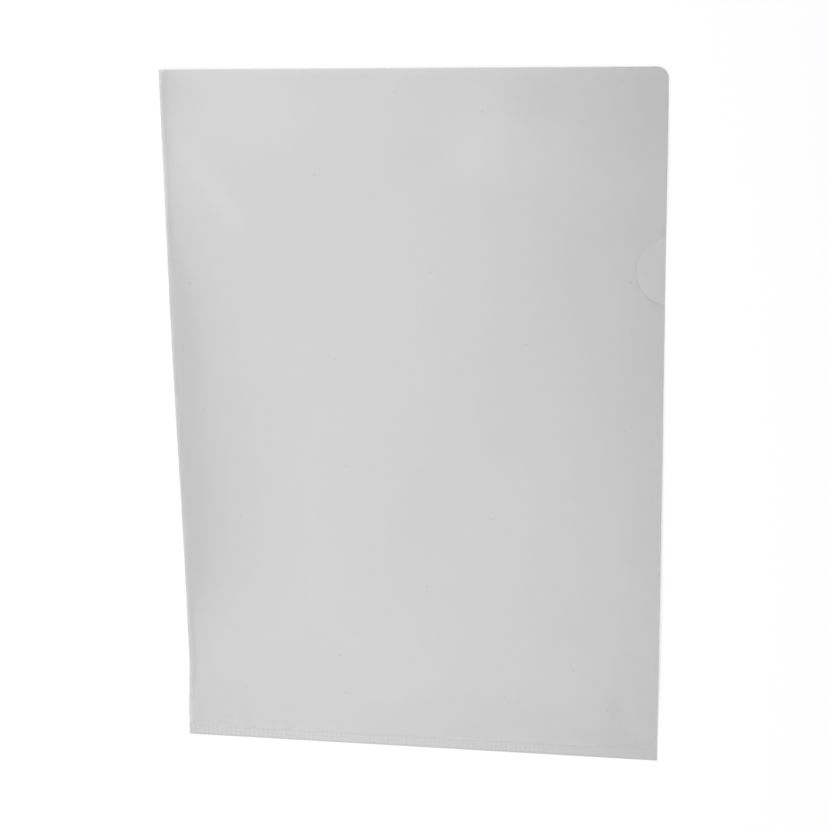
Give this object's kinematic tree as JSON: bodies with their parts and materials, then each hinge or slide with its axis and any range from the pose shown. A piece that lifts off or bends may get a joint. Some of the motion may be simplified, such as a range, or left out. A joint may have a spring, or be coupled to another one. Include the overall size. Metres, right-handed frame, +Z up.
{
  "type": "plastic file folder",
  "caption": "Open-sided page pocket of thin frosted film, folded at the left, welded at the bottom, with a thumb notch; its free front corner bends open.",
  "frame": {"origin": "middle of the footprint, on the underside of the back leaf", "axes": "+X across the page from the fold to the open side, +Y up the page from the weld to the open top, +Z up out of the front leaf"},
  "size_m": [0.22, 0.31, 0.0036],
  "materials": {
    "film": "frosted colourless film with a satin sheen",
    "weld": "two layers of the same film fused together, with rows of small pressed dents"
  },
  "bodies": {
    "held_sheet": {"back_leaf": "film", "fold_back": "film", "fold_front": "film", "fold_foot_back": "film", "fold_foot_front": "film", "bottom_weld": "weld", "front_leaf_foot": "film", "front_leaf_side": "film"},
    "free_corner": {"front_leaf_flap": "film"}
  },
  "joints": [
    {"name": "front_leaf_bend", "type": "hinge", "parent": "held_sheet", "child": "free_corner", "pos_m": [0.00439, 0.023, 0.00228], "axis": [0.6247, -0.7808, 0.007], "range_deg": [0, 70], "stiffness_Nm_per_rad": 0.003}
  ]
}
